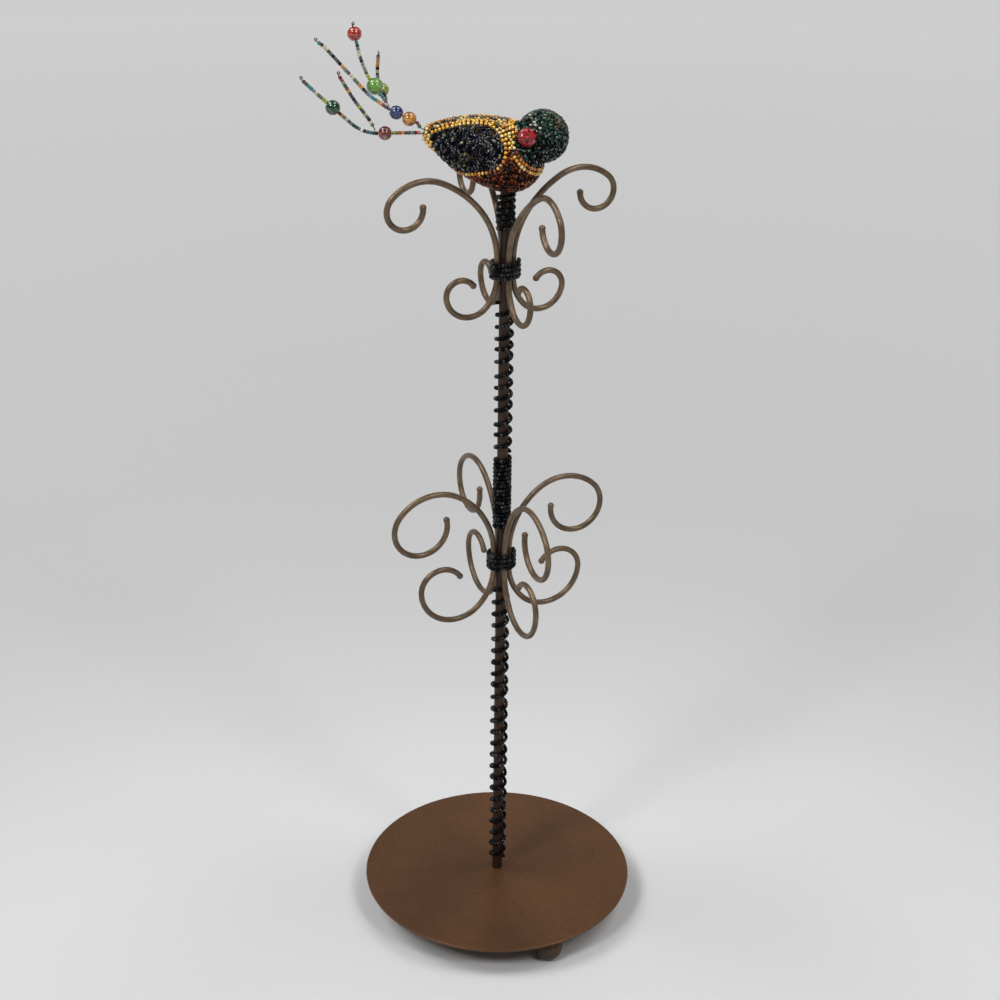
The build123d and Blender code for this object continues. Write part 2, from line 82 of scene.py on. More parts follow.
class Finish:
    """A material with one principled shader, and the nodes that vary it."""

    def __init__(self, name, **sockets):
        self.material = bpy.data.materials.new(name)
        self.material.use_nodes = True
        self.tree = self.material.node_tree
        self.shader = self.tree.nodes["Principled BSDF"]
        self.place = self.add("ShaderNodeTexCoord").outputs["Object"]
        dial(self.shader, **sockets)

    def add(self, kind, **settings):
        return fit(self.tree.nodes.new(kind), **settings)

    def join(self, source, target):
        self.tree.links.new(source, target)

    def clouds(self, size, detail=3.0, stretch=(1, 1, 1)):
        """Soft noise whose patches are about size metres across."""
        mapping = self.add("ShaderNodeMapping")
        dial(mapping, Scale=stretch)
        self.join(self.place, mapping.inputs["Vector"])
        clouds = self.add("ShaderNodeTexNoise")
        dial(clouds, Scale=1 / size, Detail=detail, Roughness=0.55)
        self.join(mapping.outputs["Vector"], clouds.inputs["Vector"])
        return clouds.outputs["Fac"]

    def ramp(self, source, stops, steps=False):
        """Turns a value into a colour through stops of (position, colour)."""
        ramp = self.add("ShaderNodeValToRGB")
        ramp.color_ramp.interpolation = "CONSTANT" if steps else "LINEAR"
        elements = ramp.color_ramp.elements
        while len(elements) < len(stops):
            elements.new(0.5)
        for element, (position, colour) in zip(elements, sorted(stops)):
            element.position = position
            element.color = colour
        self.join(source, ramp.inputs["Fac"])
        return ramp.outputs["Color"]

    def span(self, source, low, high, start=0.3, stop=0.7):
        """Spreads a value that runs from start to stop over low to high."""
        span = self.add("ShaderNodeMapRange")
        dial(span, From_Min=start, From_Max=stop, To_Min=low, To_Max=high)
        self.join(source, span.inputs["Value"])
        return span.outputs["Result"]

    def stored(self, number):
        """A number stored on the mesh under its name."""
        return self.add("ShaderNodeAttribute", attribute_name=number).outputs["Fac"]

    def colour(self, source):
        self.join(source, self.shader.inputs["Base Color"])

    def dullness(self, size, low, high):
        """Lets the roughness wander from low to high in patches of a size."""
        self.join(self.span(self.clouds(size), low, high), self.shader.inputs["Roughness"])

    def mottle(self, size, low, high, *more, detail=3.0):
        """Colours it in patches of a size, through stops of (position, colour)."""
        self.colour(self.ramp(self.clouds(size, detail), [low, high, *more]))

    def mix(self, share, first, second, way="MIX"):
        """Lays the second colour over the first by share, which is a value or a source."""
        mix = self.add("ShaderNodeMix", data_type="RGBA", blend_type=way)
        for socket, value in zip((mix.inputs[0], mix.inputs[6], mix.inputs[7]),
                                 (share, first, second)):
            if isinstance(value, bpy.types.NodeSocket):
                self.join(value, socket)
            else:
                socket.default_value = value
        return mix.outputs[2]

    def relief(self, source, depth):
        """Raises the surface by a source, by up to depth metres."""
        bump = self.add("ShaderNodeBump")
        dial(bump, Strength=1.0, Distance=depth)
        self.join(source, bump.inputs["Height"])
        self.join(bump.outputs["Normal"], self.shader.inputs["Normal"])


# %% [markdown]
# ## Bronze
# The plate, the feet, the post and the hooks are steel with a brown bronze lacquer. The plate
# is the smoothest: satin, with faint broad clouds. The wire was bent and handled, so it is
# lighter and mottled in small patches. Each metal has its own three browns, which clouds of
# noise spread over it, and the fine orange-peel skin of a sprayed lacquer.

# %% Bronze finishes
def bronze(name, dark, middle, light, rough=(0.34, 0.5), patch=0.012, metal=0.55,
           relief=0.00004, **sockets):
    """Brown lacquer over metal: clouds of three close browns, and a fine orange-peel skin."""
    finish = Finish(name, Metallic=metal, **sockets)
    brown = finish.ramp(finish.clouds(patch, 4.0), [(0.25, dark), (0.5, middle), (0.78, light)])
    specks = finish.ramp(finish.clouds(0.0011, detail=2.0), [(0.3, tint(120, 120, 120)),
                                                             (0.6, tint(255, 255, 255))])
    finish.colour(finish.mix(0.3, brown, specks, "MULTIPLY"))
    finish.dullness(patch * 0.6, *rough)
    finish.relief(finish.clouds(0.0016), relief)
    return finish


plate_bronze = bronze("plate_bronze", tint(84, 56, 37), tint(98, 66, 41), tint(111, 74, 44),
                      rough=(0.34, 0.44), patch=0.06, metal=0.35, relief=0.00001,
                      Specular_IOR_Level=0.35)
wire_bronze = bronze("wire_bronze", tint(80, 64, 50), tint(110, 91, 71), tint(140, 119, 94),
                     rough=(0.3, 0.44), patch=0.009, metal=0.52)
post_bronze = bronze("post_bronze", tint(46, 32, 24), tint(58, 41, 30), tint(72, 52, 38),
                     rough=(0.42, 0.56), patch=0.007)
foot_bronze = bronze("foot_bronze", tint(58, 42, 31), tint(74, 56, 42), tint(92, 72, 54))

# %% [markdown]
# ## Steel nut and brass wire
# Under the plate a zinc-plated nut and washer hold the post. The tail strands are threaded on
# thin brass wire that shows only at the root and in the small loops at the tips. So little of
# either is seen that two close tones and a fine grain are enough.

# %% Zinc and brass
zinc = Finish("zinc", Metallic=0.9)
zinc.mottle(0.002, (0.3, tint(150, 150, 146)), (0.7, tint(196, 196, 190)), detail=5.0)
zinc.dullness(0.0012, 0.28, 0.5)
zinc.relief(zinc.clouds(0.0006, stretch=(1, 1, 6)), 0.00003)

tail_brass = Finish("tail_brass", Metallic=0.9)
tail_brass.mottle(0.003, (0.3, tint(104, 88, 64)), (0.7, tint(158, 138, 104)))
tail_brass.dullness(0.001, 0.25, 0.45)
tail_brass.relief(tail_brass.clouds(0.0004), 0.00001)


def coat(finish, *starts):
    """Gives a finish to the CAD nodes whose names start so."""
    nodes = [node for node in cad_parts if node.startswith(starts)]
    for node in nodes:
        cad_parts[node].material_slots[0].material = finish.material
    print(finish.material.name, "on", *nodes)


coat(plate_bronze, "base_plate")
coat(foot_bronze, "foot_")
coat(post_bronze, "post")
coat(zinc, "post_washer", "post_nut")
coat(wire_bronze, "hook_")
coat(tail_brass, "tail_wire_")

# %% [markdown]
# ## Seed beads
# Nearly everything dark or colourful here is seed beads: short glass tubes about 2 mm across
# with rounded ends and a hole. A bumpy skin would be lighter, but each bead has to catch the
# light by itself, so each is turned from one small section, as on a lathe. All the beads of a
# string or patch go into one mesh, because thousands of objects would be slow to handle.

# %% Meshes and pieces
def new_mesh(name, points, faces, domain="POINT", **numbers):
    """A mesh. Each list of numbers, one for each point or face, is stored under its name."""
    mesh = bpy.data.meshes.new(name)
    mesh.from_pydata(points, [], faces)
    for number, values in numbers.items():
        mesh.attributes.new(number, "FLOAT", domain).data.foreach_set("value", values)
    return mesh


def turned(section, sides, middle, way):
    """Turns a closed section, (reach, rise), round a line through middle along way."""
    turn, rings = way.to_track_quat("Z", "Y"), len(section)
    points, faces = [], []
    for side in range(sides):
        angle = 2 * math.pi * side / sides
        points += [middle + turn @ Vector((reach * math.cos(angle), reach * math.sin(angle), rise))
                   for reach, rise in section]
        here, there = side * rings, (side + 1) % sides * rings
        for ring in range(rings):
            after = (ring + 1) % rings
            faces.append((here + ring, there + ring, there + after, here + after))
    return points, faces


def put(name, data):
    """A new object in the scene."""
    made = bpy.data.objects.new(name, data)
    scene.collection.objects.link(made)
    return made


def show(name, mesh, finish, body, slot, *nodes):
    """Puts a mesh in the scene as a piece: its finish, body and the nodes it replaces; slot is not
    used.
    """
    piece = put(name, mesh)
    mesh.materials.append(finish.material)
    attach(piece, body)
    if nodes:
        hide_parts(*nodes)
    print(name, "has", len(mesh.polygons), "faces")


# %% One bead and many
BEAD_SIDES = 8
# The bead's half section: (distance from the hole's axis, distance along it), as shares of
# the bead's radius and of half its length
BEAD_SECTION = ((0.40, -0.70), (0.66, -1.0), (0.93, -0.72), (1.0, 0.0), (0.93, 0.72),
                (0.66, 1.0), (0.40, 0.70))


def bead_mesh(name, places):
    """One mesh of beads. A place is (middle, direction of the hole, diameter, length, tone)."""
    points, faces, tones, shines = [], [], [], []
    lustre = random.Random(name)
    for middle, way, diameter, length, tone in places:
        section = [(reach * diameter / 2, rise * length / 2) for reach, rise in BEAD_SECTION]
        corners, bands = turned(section, BEAD_SIDES, middle, way)
        first = len(points)
        points += corners
        faces += [tuple(first + corner for corner in band) for band in bands]
        tones += [tone] * len(corners)
        shines += [lustre.random()] * len(corners)
    mesh = new_mesh(name, points, faces, tone=tones, shine=shines)
    mesh.shade_smooth()
    return mesh


# %% [markdown]
# ## Bead glass
# From this far no light seems to pass through a bead, so the glass is opaque under a clear
# coat, which renders much faster than real glass. A number stored on each bead, its tone, picks
# its colour from a stepped ramp, so one material paints a mixed string. A second one, its
# shine, is drawn at random: some beads flash and others stay dark, so the mass glitters.

# %% Bead glass
def bead_glass(name, colours, metal=0.0, rough=(0.08, 0.22), shine=(0.1, 1.0), flash=0.5):
    """Glossy bead glass in several colours, one for each step of the bead's tone.

    Beads whose shine lies above flash reflect with the upper end of shine, and the
    others fade to its lower end.
    """
    finish = Finish(name, Metallic=metal)
    shines = finish.stored("shine")
    finish.join(finish.span(shines, *shine, flash - 0.3, flash + 0.3),
                finish.shader.inputs["Specular IOR Level"])
    finish.join(finish.span(shines, 0.0, shine[1], flash, flash + 0.4),
                finish.shader.inputs["Coat Weight"])
    steps = [(index / len(colours), colour) for index, colour in enumerate(colours)]
    glass = finish.ramp(finish.stored("tone"), steps, steps=True)
    shade = finish.ramp(finish.clouds(0.0016, detail=1.0), [(0.3, tint(170, 170, 170)),
                                                           (0.7, tint(255, 255, 255))])
    finish.colour(finish.mix(0.6, glass, shade, "MULTIPLY"))
    finish.dullness(0.0009, *rough)
    finish.relief(finish.clouds(0.0007, detail=1.0), 0.00003)
    return finish


# %% Kinds drawn at random
chance = random.Random(7)


def tone_of(index, count):
    """The tone that picks one of count colours."""
    return (index + 0.5) / count


def pick(weights):
    """Draws a kind of bead by weight, as a tone."""
    return tone_of(chance.choices(range(len(weights)), weights)[0], len(weights))


# %% [markdown]
# ## The string on the post
# A string of near-black beads is wound round the post: close under the bird and above the lower
# tier, open elsewhere, and over the stems of each tier as a binding. The beads follow a helix.
# An array along a curve could lay them, but all alike. Steps along the line let each bead lean
# and differ a little, and the climb wanders, since no hand winds evenly.

# %% Path tools
PLATE_TOP = 16.0815 * MM
STRING_RADIUS = 3.88 * MM
BINDING_RADIUS = 6.9 * MM
SEED_PITCH = 1.5 * MM
SEED_DIAMETER = 2.1 * MM
TURN_STEPS = 48
STAND_OFF = 0.5 * MM


def walk(path, pitch, offset=0.0):
    """Even steps along a line of points: (place, direction) every pitch metres."""
    steps, target, travelled = [], offset, 0.0
    for start, end in zip(path, path[1:]):
        run = (end - start).length
        while run > 0 and target <= travelled + run:
            steps.append((start.lerp(end, (target - travelled) / run), (end - start).normalized()))
            target += pitch
        travelled += run
    return steps


def helix(radius, base, pitch, turns, wander):
    """Points of a helix round the post, whose climb wanders by up to wander metres.

    It also stands off a little here and there, never less than radius from the axis.
    """
    points = []
    for step in range(int(turns * TURN_STEPS) + 1):
        turn = step / TURN_STEPS
        ease = math.sin(math.pi * step / (turns * TURN_STEPS))
        climb = noise.noise(Vector((turn * 0.9, base * 100, 3.0))) * wander * ease
        off = abs(noise.noise(Vector((turn * 2.3, base * 100, 9.0))))
        reach = radius + off * STAND_OFF * ease
        angle = 2 * math.pi * turn
        points.append(Vector((reach * math.cos(angle), reach * math.sin(angle),
                              base + pitch * turn + climb)))
    return points


# %% Windings and bindings
string_glass = bead_glass("string_glass", [
    tint(9, 11, 16), tint(12, 17, 22), tint(7, 8, 12), tint(16, 22, 24), tint(30, 23, 18),
], rough=(0.12, 0.3), shine=(0.05, 0.5), flash=0.68)
# Name: radius, start above the plate, climb of a turn, turns, wander; millimetres
STRING_PARTS = {
    "winding_top": (STRING_RADIUS, 376.9, 3.07, 6.0, 0.5),
    "winding_middle": (STRING_RADIUS, 259.4, 6.5, 12.5, 2.0),
    "winding_close": (STRING_RADIUS, 216.5, 2.35, 17.25, 0.5),
    "winding_bottom": (STRING_RADIUS, 6.0, 7.4, 23.75, 2.6),
    "binding_upper": (BINDING_RADIUS, 352.8, 2.35, 4.0, 0.4),
    "binding_lower": (BINDING_RADIUS, 193.3, 2.35, 4.0, 0.4),
}
for part, (radius, start, climb, turns, wander) in STRING_PARTS.items():
    line = helix(radius, PLATE_TOP + start * MM, climb * MM, turns, wander * MM)
    places = []
    for middle, way in walk(line, SEED_PITCH):
        size = SEED_DIAMETER * chance.uniform(0.94, 1.04)
        lean = Vector([chance.uniform(-0.16, 0.16) for _ in range(3)])
        places.append((middle, (way + lean).normalized(), size, SEED_PITCH * 1.02,
                       pick((4, 4, 4, 2, 1))))
    show(f"{part}_beads", bead_mesh(part, places), string_glass, "stand", "string_beads", part)

# %% [markdown]
# ## The bird's shape
# The bird is a carved core with beads sewn or glued over it. The CAD model has that core and a
# shell for each colour of beads. Beads are placed by shooting a ray at the shell from outside:
# where it lands is where a bead sits, and the shell it lands on gives the bead's colour.

# %% The bird's own frame and its shell
BIRD_TURN = Matrix.Rotation(math.radians(-24.0), 4, "Z")
BIRD_CENTRE = BIRD_TURN @ Vector((1.2 * MM, 0, PLATE_TOP + 413.8 * MM))
BREAST, TAIL_ROOT = 17.9, 3.8
TAIL_END = Vector((-40.9, 0, 11.3))
TAIL_AXIS, TAIL_LENGTH = TAIL_END.normalized(), TAIL_END.length
HEAD, HEAD_MIDDLE = 13.3, Vector((15.7, 0, 9.9))
PATCHES = ("tail_root_beads", "wing_beads_right", "wing_beads_left", "wing_trim_right",
           "wing_trim_left", "neck_beads", "bib_trim", "hood_beads", "back_beads", "belly_beads")


def stand_point(local):
    """A point of the bird's frame, in millimetres, as a place on the stand."""
    return BIRD_CENTRE + BIRD_TURN @ (Vector(local) * MM)


def bird_point(place):
    """A place on the stand as a point of the bird's frame, in millimetres."""
    return BIRD_TURN.inverted() @ (place - BIRD_CENTRE) / MM


def bird_way(turn, rise):
    """A direction turned from the breast's and raised, in degrees, as one on the stand."""
    turn, rise = math.radians(turn), math.radians(rise)
    level = math.cos(rise)
    return BIRD_TURN.to_3x3() @ Vector((math.cos(turn) * level, math.sin(turn) * level,
                                        math.sin(rise)))


def mesh_parts(node):
    """The corners and triangles of a CAD node."""
    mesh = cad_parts[node].data
    mesh.calc_loop_triangles()
    return [v.co.copy() for v in mesh.vertices], [tuple(t.vertices) for t in mesh.loop_triangles]


def tree_of(nodes):
    """CAD nodes as one tree for rays and distances, and the node of each of its faces."""
    points, faces, owners = [], [], []
    for node in nodes:
        corners, triangles = mesh_parts(node)
        first = len(points)
        points += corners
        faces += [tuple(first + c for c in t) for t in triangles]
        owners += [node] * len(triangles)
    return BVHTree.FromPolygons(points, faces), owners


# %% Shooting at the shell
RAY_START = 60
shell, shell_owner = tree_of(PATCHES)
core, _ = tree_of(("bird_body", "bird_head"))
print("shell triangles:", len(shell_owner))


def hub(local):
    """The point of the bird's inner line, from breast to tail root, that a spot looks at."""
    along = max(0.0, min(TAIL_LENGTH, Vector(local).dot(TAIL_AXIS)))
    return TAIL_AXIS * along


def land(local, centre=None):
    """Shoots at the shell from outside, through a spot; gives place, outward way and patch."""
    middle = Vector(centre) if centre is not None else hub(local)
    out = (Vector(local) - middle).normalized()
    start, aim = stand_point(middle + out * RAY_START), BIRD_TURN.to_3x3() @ -out
    place, normal, face, _ = shell.ray_cast(start, aim)
    if place is None:
        return None
    if normal.dot(aim) > 0:
        normal = -normal
    return place, normal, shell_owner[face]


# %% [markdown]
# ## Rows of gold beads
# Gold beads run in neat rows: one hugs each wing, more follow it over the neck as a grid, two
# lie under the hood and three rings close the tail root. A row is a line drawn on the bird's
# side and carried to the surface. Its beads lie along the row, threaded on it, a little apart,
# so each shows as its own dot. A row beside another is the same beads moved over sideways.

# %% Row tools
laid = {patch: [] for patch in PATCHES}
# Millimetres: the shells' thickness, a row's bead, and how near a row comes to the ridge
COAT, BEAD_LIFT = 1.8, 0.93
ROW_PITCH, ROW_APART = 2.02, 1.55
ROW_BEAD, ROW_BEAD_LENGTH = 1.9, 1.45
RIDGE_GAP = 0.9


class Crowd:
    """Places already taken, in a grid of boxes, so that a near one is found at once."""

    def __init__(self, spacing):
        self.spacing = spacing
        self.boxes = {}

    def cell(self, place):
        return tuple(int(math.floor(c / self.spacing)) for c in place)

    def add(self, place):
        self.boxes.setdefault(self.cell(place), []).append(place)

    def free(self, place, apart):
        x, y, z = self.cell(place)
        return all((other - place).length >= apart
                   for i in (-1, 0, 1) for j in (-1, 0, 1) for k in (-1, 0, 1)
                   for other in self.boxes.get((x + i, y + j, z + k), ()))


crowd = Crowd(2.1 * MM)


# %% Seating beads and laying rows
def seat(place, normal, diameter):
    """A bead's middle: sunk in from the shell's outer face until it rests on the core."""
    return place - normal * (COAT * MM - diameter * 0.5 * BEAD_LIFT)


def row_along(line, start=0.5):
    """Even spots along a line on the shell: (spot of the bird's frame, direction)."""
    path = [spot[0] for spot in line if spot is not None]
    return [(bird_point(middle), way) for middle, way in
            walk(path, ROW_PITCH * MM, ROW_PITCH * MM * start)]


def lay_row(row, owners, weights_at, shift=0.0, side=0, centre=None, into=None):
    """Lays a row's beads, moved sideways by shift, where they fall on the owners' patches.

    Each bead belongs to the patch it falls on, or to the patch named in into.
    """
    for local, way in row:
        spot = land(local, centre)
        if spot is None:
            continue
        if shift:
            across = spot[1].cross(way).normalized()
            spot = land(bird_point(spot[0] + across * (shift * MM)), centre)
        if spot is None or spot[2] not in owners:
            continue
        place, normal, owner = spot
        point = bird_point(place)
        if side and point.y * side < RIDGE_GAP:
            continue
        size = ROW_BEAD * MM * chance.uniform(0.93, 1.03)
        middle = seat(place, normal, size)
        if not crowd.free(middle, ROW_APART * MM):
            continue
        crowd.add(middle)
        flat = (way - normal * way.dot(normal)).normalized()
        hole = (flat + normal.cross(flat) * chance.uniform(-0.14, 0.14)).normalized()
        laid[into or owner].append((middle, hole, size, ROW_BEAD_LENGTH * MM,
                                    pick(weights_at(point))))


# %% Lines drawn on the bird's side
def arc(start, middle, end, steps=240):
    """Points of the arc through three points, drawn on the bird's side."""
    a, b, c = complex(*start), complex(*middle), complex(*end)
    skew = (c - a) / (b - a)
    centre = a + (b - a) * (skew - abs(skew) ** 2) / (2j * skew.imag)
    sweep = cmath.phase((b - centre) / (a - centre)) + cmath.phase((c - centre) / (b - centre))
    spots = [centre + (a - centre) * cmath.rect(1, sweep * i / steps) for i in range(steps + 1)]
    return [(spot.real, spot.imag) for spot in spots]


def body_radius(along):
    """The body's radius at a distance from the breast's middle towards the tail root."""
    if along < 0:
        return math.sqrt(max(0.0, BREAST**2 - along**2))
    taper = (TAIL_LENGTH**2 + (BREAST - TAIL_ROOT) ** 2) / (2 * (BREAST - TAIL_ROOT))
    return BREAST - taper + math.sqrt(taper**2 - along**2)


def flank(x, z, side):
    """Carries a point drawn on the bird's side to the body's flank, right (-1) or left (1)."""
    along = x * TAIL_AXIS.x + z * TAIL_AXIS.z
    above = x * -TAIL_AXIS.z + z * TAIL_AXIS.x
    depth = body_radius(along) ** 2 - above**2
    if depth <= 0:
        return None
    return land((x, side * math.sqrt(depth), z))


# %% Gold glass
GOLD = [tint(255, 200, 80), tint(246, 178, 58), tint(255, 228, 150), tint(214, 130, 46),
        tint(150, 72, 28), tint(84, 40, 18)]
gold_glass = bead_glass("gold_glass", GOLD, metal=0.3, rough=(0.12, 0.26), shine=(0.4, 1.0),
                        flash=0.3)


def gold_weights(point):
    """Yellow gold high on the bird, running into orange and copper lower down."""
    if point.z > 4:
        return (6, 4, 4, 2, 0.5, 0.2)
    if point.z > -2:
        return (3, 4, 2, 4, 2, 0.5)
    return (1, 2, 0.6, 4, 4, 1.5)


# %% Laying the gold rows
wing_line = (arc((-38.9, 10.3), (-25.5, 16.2), (-10.1, 17.2)) +
             arc((-10.1, 17.2), (-2.5, 7.4), (-8.3, -2.9)) +
             [(-8.3 - 13.1 * i / 60, -2.9 - 3.8 * i / 60) for i in range(61)] +
             arc((-21.4, -6.7), (-31.9, -3.1), (-38.9, 10.3)))
NECK = ("neck_beads",)
for side, name in ((-1, "right"), (1, "left")):
    trim = (f"wing_trim_{name}",)
    rim = row_along([flank(x, z, side) for x, z in wing_line])
    for step, owners in ((1.05, trim + NECK + ("back_beads",)), (3.1, trim + NECK),
                         (5.15, NECK), (7.2, NECK), (9.25, NECK)):
        lay_row(rim, owners, gold_weights, -side * step, side)
for back in (0.7, 2.4, 4.2):
    along = TAIL_LENGTH - back
    sideways, upwards = Vector((0, 1, 0)), TAIL_AXIS.cross(Vector((0, 1, 0)))
    ring = [land(TAIL_AXIS * along + (sideways * math.cos(a) + upwards * math.sin(a)) * 6,
                 TAIL_AXIS * along)
            for a in (math.radians(i * 2) for i in range(181))]
    lay_row(row_along(ring, back / 4), ("tail_root_beads",), gold_weights, centre=TAIL_AXIS * along)
hood_hem = arc((2.9, 7.9), (7.8, 0.0), (18.3, -5.6), 2000)
bib_hem = arc((1.0, 6.8), (5.8, -1.2), (18.3, -9.0), 2000)
for share, weights in ((-0.1, (0, 1, 2, 6, 3, 0.3)), (0.75, (2, 3, 5, 3, 1, 0.2))):
    half_row = []
    for (hx, hz), (bx, bz) in zip(hood_hem, bib_hem):
        x, z = hx + (bx - hx) * share, hz + (bz - hz) * share
        if x * x + z * z < BREAST**2:
            half_row.append((x, math.sqrt(BREAST**2 - x * x - z * z), z))
    band = [(x, -y, z) for x, y, z in half_row] + half_row[::-1]
    lay_row(row_along([land(spot, (0, 0, 0)) for spot in band], abs(share)),
            ("bib_trim", "hood_beads"), lambda point: weights, centre=(0, 0, 0), into="bib_trim")
print("beads in rows:", sum(len(beads) for beads in laid.values()))

# %% [markdown]
# ## Fields of beads
# The hood, wings, back and belly are covered with beads glued on by the pinch, so they point
# many ways. Beads are thrown at the shell at random and kept where they don't crowd one already
# there, which fills the field as evenly as a bead worker does. On the wing's front they lie in
# rings round a middle, and behind that slantwise; elsewhere they follow noise, so that beads
# near each other point nearly the same way.

# %% Field tools
SWIRL = Vector((-12.2, 0, 7.4))
SWIRL_REACH = 8.5
OFF_CORE = 1.2
THROWS = 30


def outer_faces(patch):
    """The triangles of a patch's outer face: those whose corners all lie off the core."""
    corners, triangles = mesh_parts(patch)
    off = [core.find_nearest(c)[3] > OFF_CORE * MM for c in corners]
    return [[corners[i] for i in t] for t in triangles if all(off[i] for i in t)]


def lie(patch, point, normal, curl):
    """The direction along which a bead's hole lies in a field."""
    wander = noise.noise(point / curl)
    if patch.startswith("wing"):
        from_middle = Vector((point.x - SWIRL.x, 0, point.z - SWIRL.z))
        if from_middle.length < SWIRL_REACH:
            way, swing = Vector((-from_middle.z, 0, from_middle.x)), wander * 0.9
        else:
            way, swing = Vector((-0.6, 0, -0.8)), wander * 2.4
    else:
        way, swing = Vector((0.6, 0.1, 0.8)), wander * 5.0
    way = BIRD_TURN.to_3x3() @ way
    flat = (way - normal * way.dot(normal)).normalized()
    swing += chance.uniform(-0.4, 0.4)
    hole = Matrix.Rotation(swing, 3, normal) @ flat
    return (hole + normal * chance.uniform(-0.2, 0.2)).normalized()


def fill(patch, diameter, length, apart, curl, weights_at):
    """Covers what is still bare of a patch with beads."""
    triangles = outer_faces(patch)
    areas = [(b - a).cross(c - a).length / 2 for a, b, c in triangles]
    tries = int(sum(areas) / (apart * MM) ** 2 * THROWS)
    beads = []
    for a, b, c in chance.choices(triangles, areas, k=tries):
        u, v = chance.random(), chance.random()
        if u + v > 1:
            u, v = 1 - u, 1 - v
        place = a + (b - a) * u + (c - a) * v
        landed = land(bird_point(place), HEAD_MIDDLE if patch == "hood_beads" else None)
        if landed is None:
            continue
        normal = landed[1]
        size = diameter * MM * chance.uniform(0.88, 1.08)
        spot = seat(place, normal, size)
        if not crowd.free(spot, apart * MM):
            continue
        crowd.add(spot)
        point = bird_point(place)
        beads.append((spot, lie(patch, point, normal, curl), size,
                      length * MM * chance.uniform(0.85, 1.1), pick(weights_at(point))))
    return beads


def drift(point, size):
    """A slow wander of about one, so that the edges of a colour's area aren't straight."""
    return noise.noise(point / size) * 1.6


# %% [markdown]
# ## Colours of the fields
# Each area of the real bird mixes a few colours, and one mix runs into the next. Here a bead's
# colour is drawn by weights that depend on where it lies. Painting bead by bead would copy the
# bird more closely, but would be lost as soon as the shape changed.

# %% The colours of the fields
def wing_weights(point):
    """Navy, blue-black, black, purple, olive, grey-cream and teal beads of the wing."""
    x, z = point.x + 3 * drift(point, 6), point.z + 2 * drift(point, 5)
    if -23.5 < x < -18.5:
        return (2, 1, 4, 1, 2.2, 0.9, 1.2)
    if x <= -23.5:
        return (5, 5, 5, 0.6, 0.3, 0.6, 0.8)
    if z > 10.5:
        return (1, 1, 4, 6, 1.2, 0.8, 0.4)
    return (2, 1, 8, 3, 0.7, 0.7, 0.6)


def hood_weights(point):
    """Green, teal, black, olive, pale green and orange beads of the hood."""
    height = point.z + 3 * drift(point, 6)
    if point.x > 18 and height > 13:
        return (3, 2, 4, 4, 1, 0.4)
    if height > 9:
        return (5, 5, 4, 0.8, 1.6, 0.02)
    return (3, 2, 9, 0.5, 0.6, 0)


def belly_weights(point):
    """Dark red, copper, maroon, orange and black-brown beads of the belly."""
    if drift(point, 4) > 0.35 or point.z > -1:
        return (4, 4, 3, 1.6, 1)
    return (5, 3, 4, 0.6, 3)


def back_weights(point):
    """Gold and cream beads of the back, brown at the tail and olive along the ridge."""
    if point.x < -27:
        return (2, 1, 0.6, 3, 4)
    if abs(point.y) < 2.6 + drift(point, 3):
        return (2, 1, 4, 5, 1)
    return (4, 5, 1, 1, 1)


# %% The fields
hood_glass = bead_glass("hood_glass", [
    tint(14, 50, 34), tint(16, 62, 52), tint(4, 12, 11), tint(74, 72, 34), tint(92, 118, 96),
    tint(160, 92, 38),
], rough=(0.06, 0.16))
wing_glass = bead_glass("wing_glass", [
    tint(10, 13, 30), tint(6, 8, 20), tint(5, 5, 7), tint(36, 26, 46), tint(66, 61, 30),
    tint(124, 116, 88), tint(14, 34, 38),
], rough=(0.06, 0.16), shine=(0.05, 1.0), flash=0.6)
belly_glass = bead_glass("belly_glass", [
    tint(98, 42, 22), tint(134, 68, 35), tint(62, 24, 14), tint(196, 114, 56), tint(26, 12, 9),
], metal=0.55, rough=(0.14, 0.3), shine=(0.1, 0.4))
back_glass = bead_glass("back_glass", [
    tint(226, 176, 84), tint(248, 220, 154), tint(96, 88, 44), tint(52, 32, 18), tint(160, 92, 40),
], metal=0.2, rough=(0.1, 0.25), shine=(0.4, 1.0), flash=0.3)
# A field: glass, slot, diameter, length, least distance, curl and colours; millimetres
GOLD_FIELD = (gold_glass, "gold_beads", 1.5, 1.3, 1.5, 5.0, gold_weights)
WING_FIELD = (wing_glass, "navy_bugle_beads", 1.35, 2.1, 1.36, 5.0, wing_weights)
FIELDS = {
    "hood_beads": (hood_glass, "green_beads", 1.45, 1.9, 1.36, 4.0, hood_weights),
    "wing_beads_right": WING_FIELD,
    "wing_beads_left": WING_FIELD,
    "belly_beads": (belly_glass, "copper_beads", 1.5, 1.8, 1.4, 5.0, belly_weights),
    "back_beads": (back_glass, "olive_beads", 1.6, 1.6, 1.42, 5.0, back_weights),
    "tail_root_beads": GOLD_FIELD,
    "wing_trim_right": GOLD_FIELD,
    "wing_trim_left": GOLD_FIELD,
    "neck_beads": GOLD_FIELD,
    "bib_trim": (gold_glass, "copper_gold_beads", 1.4, 1.3, 1.5, 5.0,
                 lambda point: (0, 1, 0, 2, 4, 4)),
}
for patch, (finish, slot, diameter, length, apart, curl, weights_at) in FIELDS.items():
    laid[patch] += fill(patch, diameter, length, apart, curl, weights_at)
    show(f"{patch}_laid", bead_mesh(patch, laid[patch]), finish, "stand", slot, patch)

# %% [markdown]
# ## What shows between the beads
# The core shows only as thin dark gaps between the beads, so it gets a dark, dull finish.

# %% The core
core_dark = Finish("core_dark", Metallic=0.0)
core_dark.mottle(0.004, (0.3, tint(14, 12, 10)), (0.55, tint(24, 17, 12)),
                  (0.75, tint(38, 24, 14)))
core_dark.dullness(0.001, 0.5, 0.8)
core_dark.relief(core_dark.clouds(0.0008), 0.0001)
coat(core_dark, "bird_")
